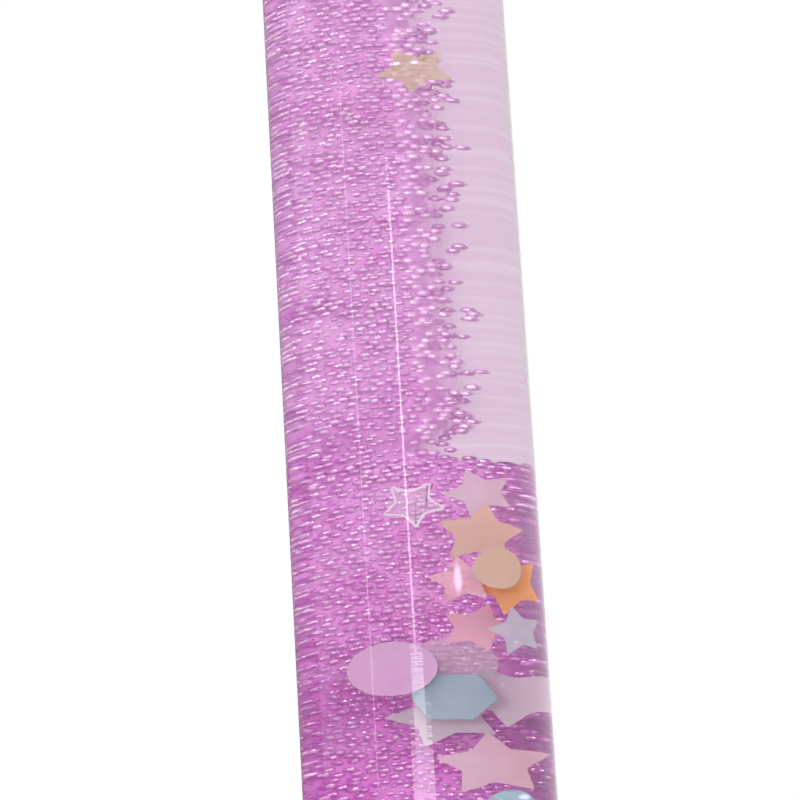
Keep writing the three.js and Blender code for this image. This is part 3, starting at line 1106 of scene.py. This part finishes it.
def cap_profile(low, high, up):
    """Profile of a cap from its outer end to its mouth; up is 1 or -1."""
    end = low.z if up > 0 else high.z
    rise, edge, mouth = GRIP_BAND_RISE, CAP_EDGE_ROUND, CAP_MOUTH_ROUND
    radius, tall = high.x - rise, high.z - low.z
    inner = TUBE_RADIUS + CAP_FIT
    band_top = tall - GRIP_BAND_FROM_MOUTH
    band_low = band_top - GRIP_BAND_WIDTH
    points = [
        (0, 0),
        *round_corner((radius - edge, edge), edge, -90, 0, 10),
        (radius, band_low),
        *round_corner((radius, band_low + rise), rise, -90, 0, 5),
        *round_corner((radius, band_top - rise), rise, 0, 90, 5),
        *round_corner((radius - mouth, tall - mouth), mouth, 0, 90, 5),
        (inner, tall),
        (inner, CAP_END),
        (0, CAP_END),
    ]
    return [(point[0], end + up * point[1]) for point in points]


class WAND_OT_caps(bpy.types.Operator):
    """Make the moulded caps and finish the plugs, seals and stopper"""

    bl_idname = "wand.caps"
    bl_label = "Caps and plugs"

    def execute(self, context):
        settings = context.scene.wand.caps
        plastic = moulded_plastic("cap_plastic", settings.light, settings.deep, 0.2, 0.36)
        for side, up in (("lower", 1), ("upper", -1)):
            low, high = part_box(f"{side}_cap")
            bm = spin_profile(cap_profile(low, high, up), settings.steps, closed=False)
            add_piece(f"{side}_cap_shell", bm, [plastic], [f"{side}_cap"])
        natural = moulded_plastic("plug_plastic", settings.plug, settings.plug, 0.4, 0.55)
        rubber = moulded_plastic("seal_rubber", settings.rubber, settings.rubber, 0.5, 0.7)
        stopper = moulded_plastic("stopper_rubber", settings.stopper, settings.stopper, 0.5, 0.65)
        finishes = {
            "lower_plug": natural,
            "upper_plug": natural,
            "lower_seal": rubber,
            "upper_seal": rubber,
            "fill_stopper": stopper,
        }
        for node, material in finishes.items():
            frame["nodes"][node].data.materials.clear()
            frame["nodes"][node].data.materials.append(material)
        return {"FINISHED"}


# Stage


def add_softbox(name, place, aim, size, power):
    """A rectangular lamp that faces a point."""
    lamp = bpy.data.lights.new(name, "AREA")
    lamp.shape = "RECTANGLE"
    lamp.size, lamp.size_y = size
    lamp.energy = power
    holder = bpy.data.objects.new(name, lamp)
    holder.location = place
    holder.rotation_euler = (Vector(aim) - Vector(place)).to_track_quat("-Z", "Y").to_euler()
    holder.visible_camera = False
    bpy.context.scene.collection.objects.link(holder)


def white_surround(ambient):
    """World that looks white and gives an even light."""
    world = bpy.data.worlds.new("surround")
    world.use_nodes = True
    tree = world.node_tree
    link = tree.links.new
    path = tree.nodes.new("ShaderNodeLightPath")
    seen = tree.nodes["Background"]
    seen.inputs["Color"].default_value = (1, 1, 1, 1)
    light = tree.nodes.new("ShaderNodeBackground")
    light.inputs["Color"].default_value = (1, 1, 1, 1)
    light.inputs["Strength"].default_value = ambient
    surface = light.outputs["Background"]
    for ray in ("Is Glossy Ray", "Is Transmission Ray", "Is Camera Ray"):
        mix = tree.nodes.new("ShaderNodeMixShader")
        link(path.outputs[ray], mix.inputs["Fac"])
        link(surface, mix.inputs[1])
        link(seen.outputs["Background"], mix.inputs[2])
        surface = mix.outputs["Shader"]
    link(surface, tree.nodes["World Output"].inputs["Surface"])
    bpy.context.scene.world = world


def matt_card(name, size, tone, lift):
    """Mesh of a flat matt square with a faint mottle, and its material's tree and shader."""
    bm = bmesh.new()
    bmesh.ops.create_grid(bm, x_segments=1, y_segments=1, size=size / 2)
    mesh = bpy.data.meshes.new(name)
    bm.to_mesh(mesh)
    bm.free()
    material, tree, shader = new_material(name)
    paler = tuple(min(1, part + lift) for part in tone)
    mottle = place_group(tree, soft_mottle(), Light=paler, Deep=tuple(tone), Scale=6, Detail=2)
    tree.links.new(mottle.outputs["Color"], shader.inputs["Base Color"])
    shader.inputs["Roughness"].default_value = MATT
    mesh.materials.append(material)
    return mesh, tree, shader


def pale_floor(settings):
    """Plain matt floor under the wand, which fades into the white surround."""
    mesh, tree, shader = matt_card("floor", FLOOR_SIZE, settings.floor, 0.03)
    place = tree.nodes.new("ShaderNodeTexCoord")
    away = vector_step(tree, "LENGTH")
    fade = fade_between(tree, settings.floor_end, settings.floor_solid, smooth=True)
    tree.links.new(place.outputs["Object"], away.inputs[0])
    tree.links.new(away.outputs["Value"], fade.inputs["Value"])
    tree.links.new(fade.outputs["Result"], shader.inputs["Alpha"])
    floor = bpy.data.objects.new("floor", mesh)
    bpy.context.scene.collection.objects.link(floor)


def grey_flag(name, place, aim, size, tone):
    """A grey card that only reflections see, to darken the tube's rim."""
    mesh = matt_card(name, size, tone, 0.02)[0]
    card = bpy.data.objects.new(name, mesh)
    card.location = place
    card.rotation_euler = (Vector(aim) - Vector(place)).to_track_quat("Z", "Y").to_euler()
    for kind in ("camera", "diffuse", "transmission", "shadow"):
        setattr(card, f"visible_{kind}", False)
    bpy.context.scene.collection.objects.link(card)


def add_camera(settings):
    """Camera below the middle of the wand, looking up along +Y and rolled."""
    camera = bpy.data.cameras.new("camera")
    camera.lens = settings.lens
    camera.sensor_width = 36
    forward = Vector((0, math.cos(settings.pitch), math.sin(settings.pitch)))
    level_up = Vector((0, -math.sin(settings.pitch), math.cos(settings.pitch)))
    level_right = Vector((1, 0, 0))
    roll = -settings.roll
    right = math.cos(roll) * level_right + math.sin(roll) * level_up
    up = -math.sin(roll) * level_right + math.cos(roll) * level_up
    holder = bpy.data.objects.new("camera", camera)
    turn = Matrix((right, up, -forward)).transposed().to_4x4()
    place = Vector((0, 0, settings.target)) - settings.distance * forward
    holder.matrix_world = Matrix.Translation(place - settings.aside * right) @ turn
    bpy.context.scene.collection.objects.link(holder)
    bpy.context.scene.camera = holder


class WAND_OT_stage(bpy.types.Operator):
    """Set the camera, the lamps, the surround and the floor"""

    bl_idname = "wand.stage"
    bl_label = "Stage"

    def execute(self, context):
        settings = context.scene.wand.stage
        context.scene.view_settings.view_transform = "Standard"
        add_camera(settings)
        white_surround(settings.ambient)
        pale_floor(settings)
        grey_flag("flag_left", FLAG_PLACE, WAND_MIDDLE, FLAG_SIZE, settings.flag)
        for name, lamp in LAMPS.items():
            add_softbox(name, *lamp)
        return {"FINISHED"}


class WAND_PT_panel(bpy.types.Panel):
    """Lists the steps that make the wand"""

    bl_idname = "WAND_PT_panel"
    bl_label = "Glitter Sensory Wand"
    bl_space_type = "VIEW_3D"
    bl_region_type = "UI"
    bl_category = "Wand"

    def draw(self, context):
        for operator in OPERATORS:
            self.layout.operator(operator.bl_idname)


SETTINGS = (
    WandTubeSettings,
    WandLiquidSettings,
    WandBeadSettings,
    WandConfettiSettings,
    WandCapSettings,
    WandStageSettings,
    WandSettings,
)
OPERATORS = (
    WAND_OT_stage,
    WAND_OT_tube,
    WAND_OT_liquid,
    WAND_OT_beads,
    WAND_OT_confetti,
    WAND_OT_caps,
)


def register():
    for item in (*SETTINGS, *OPERATORS, WAND_PT_panel):
        bpy.utils.register_class(item)
    bpy.types.Scene.wand = PointerProperty(type=WandSettings)


def unregister():
    del bpy.types.Scene.wand
    for item in reversed((*SETTINGS, *OPERATORS, WAND_PT_panel)):
        bpy.utils.unregister_class(item)


def main():
    register()
    bpy.ops.wand.stage()
    bpy.ops.wand.tube()
    bpy.ops.wand.liquid()
    bpy.ops.wand.beads()
    bpy.ops.wand.confetti()
    bpy.ops.wand.caps()


if __name__ == "__main__":
    main()
